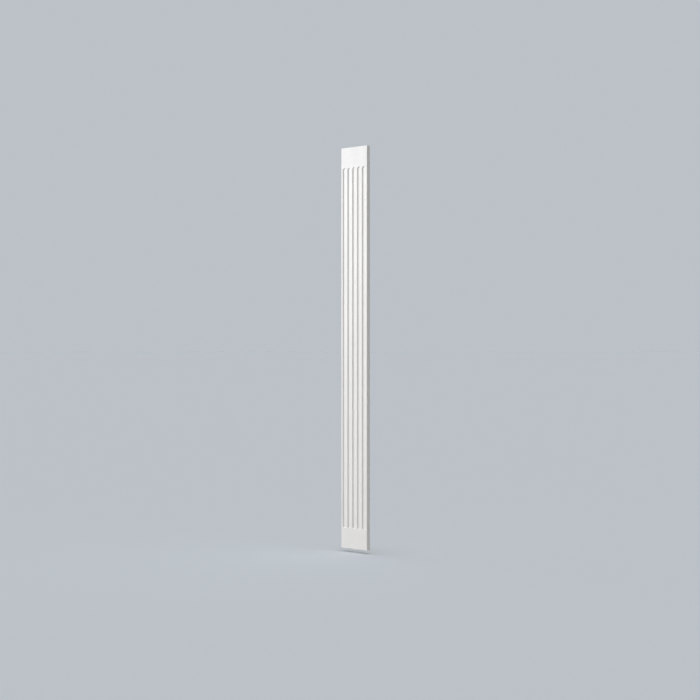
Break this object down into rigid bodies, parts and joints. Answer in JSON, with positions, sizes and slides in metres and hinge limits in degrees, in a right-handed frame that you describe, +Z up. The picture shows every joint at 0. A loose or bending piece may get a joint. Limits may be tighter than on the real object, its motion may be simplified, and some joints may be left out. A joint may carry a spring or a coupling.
{
  "type": "fluted pilaster shaft",
  "caption": "Flat fluted pilaster shaft: a tall, thin moulded board with shallow stopped flutes, round at both ends, plain head and foot, and a flat back that is fixed to a wall.",
  "frame": {"origin": "middle of the flat back, half way up the board, where it lies on the wall", "axes": "+Z up along the board, -Y out of the wall the way the fluted face looks, +Y into the wall, +X to the right of a person facing the flutes"},
  "size_m": [0.18, 0.021, 2],
  "materials": {
    "primed_foam": "rigid moulded foam under a matte white primer coat"
  },
  "bodies": {
    "root": {"fluted_shaft": "primed_foam"}
  },
  "joints": []
}
